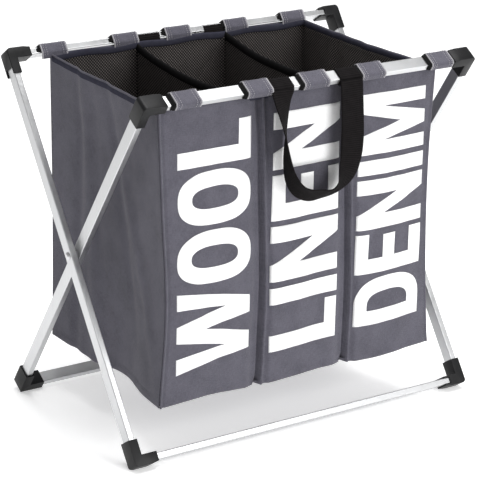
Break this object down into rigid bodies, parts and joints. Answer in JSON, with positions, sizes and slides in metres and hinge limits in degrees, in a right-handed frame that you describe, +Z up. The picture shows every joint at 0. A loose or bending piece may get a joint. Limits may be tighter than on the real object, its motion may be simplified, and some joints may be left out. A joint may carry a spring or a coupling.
{
  "type": "laundry sorter",
  "caption": "Folding laundry sorter: a grey fabric bag of hanging compartments on two crossed silver tube frames with black plastic corners.",
  "frame": {"origin": "on the floor, under the middle of the sorter", "axes": "+X to the right along the bars, -Y to the front with the handle loop, +Z up"},
  "size_m": [0.632, 0.3994, 0.5668],
  "materials": {
    "aluminium_tube": "fine lengthwise grooves, satin",
    "black_plastic": "moulded, lightly textured",
    "grey_plastic": "moulded",
    "rivet_steel": "plain",
    "grey_polyester": "coarse plain weave",
    "black_mesh": "open diamond mesh",
    "navy_binding": "woven tape",
    "black_webbing": "ribbed webbing",
    "black_velcro": "hook and loop pile"
  },
  "bodies": {
    "rear_frame": {"outer_left_leg": "aluminium_tube", "outer_right_leg": "aluminium_tube", "rear_top_bar": "aluminium_tube", "front_bottom_bar": "aluminium_tube", "rear_top_left_connector": "black_plastic", "rear_top_right_connector": "black_plastic", "front_left_foot_connector": "black_plastic", "front_right_foot_connector": "black_plastic", "pivot_rivets": "rivet_steel", "pivot_spacers": "grey_plastic", "rear_tab_1": "grey_polyester", "rear_tab_2": "grey_polyester", "rear_tab_3": "grey_polyester", "rear_tab_4": "grey_polyester", "rear_tab_5": "grey_polyester", "rear_tab_velcro": "black_velcro", "rear_handle_anchors": "black_webbing", "rear_panel": "grey_polyester", "rear_lining": "black_mesh", "rear_binding": "navy_binding", "left_side_panel": "grey_polyester", "left_side_lining": "black_mesh", "left_side_binding": "navy_binding", "left_divider": "black_mesh", "left_divider_binding": "navy_binding", "right_side_panel": "grey_polyester", "right_side_lining": "black_mesh", "right_side_binding": "navy_binding", "right_divider": "black_mesh", "right_divider_binding": "navy_binding", "bag_floor": "grey_polyester"},
    "front_frame": {"inner_left_leg": "aluminium_tube", "inner_right_leg": "aluminium_tube", "front_top_bar": "aluminium_tube", "rear_bottom_bar": "aluminium_tube", "front_top_left_connector": "black_plastic", "front_top_right_connector": "black_plastic", "rear_left_foot_connector": "black_plastic", "rear_right_foot_connector": "black_plastic", "front_tab_1": "grey_polyester", "front_tab_2": "grey_polyester", "front_tab_3": "grey_polyester", "front_tab_4": "grey_polyester", "front_tab_5": "grey_polyester", "front_tab_velcro": "black_velcro", "front_handle_anchors": "black_webbing"},
    "bag_front": {"front_panel": "grey_polyester", "front_lining": "black_mesh", "front_binding": "navy_binding"},
    "front_handle": {"front_handle": "black_webbing"},
    "rear_handle": {"rear_handle": "black_webbing"}
  },
  "joints": [
    {"name": "frame_fold", "type": "hinge", "parent": "rear_frame", "child": "front_frame", "pos_m": [0, 0, 0.28245], "axis": [-1, 0, 0], "range_deg": [0, 62.4], "deforming": ["left_side_panel", "left_side_lining", "left_side_binding", "left_divider", "left_divider_binding", "right_side_panel", "right_side_lining", "right_side_binding", "right_divider", "right_divider_binding", "bag_floor"]},
    {"name": "bag_front_hang", "type": "hinge", "parent": "front_frame", "child": "bag_front", "pos_m": [0, -0.18174, 0.55189], "axis": [-1, 0, 0], "range_deg": [-62.4, 0]},
    {"name": "front_handle_swing", "type": "hinge", "parent": "bag_front", "child": "front_handle", "pos_m": [0, -0.18174, 0.55189], "axis": [-1, 0, 0], "range_deg": [0, 150]},
    {"name": "rear_handle_swing", "type": "hinge", "parent": "rear_frame", "child": "rear_handle", "pos_m": [0, 0.18174, 0.55189], "axis": [1, 0, 0], "range_deg": [0, 150]}
  ],
  "couplings": [
    {"joint": "bag_front_hang", "follows": "frame_fold", "ratio": -1}
  ]
}
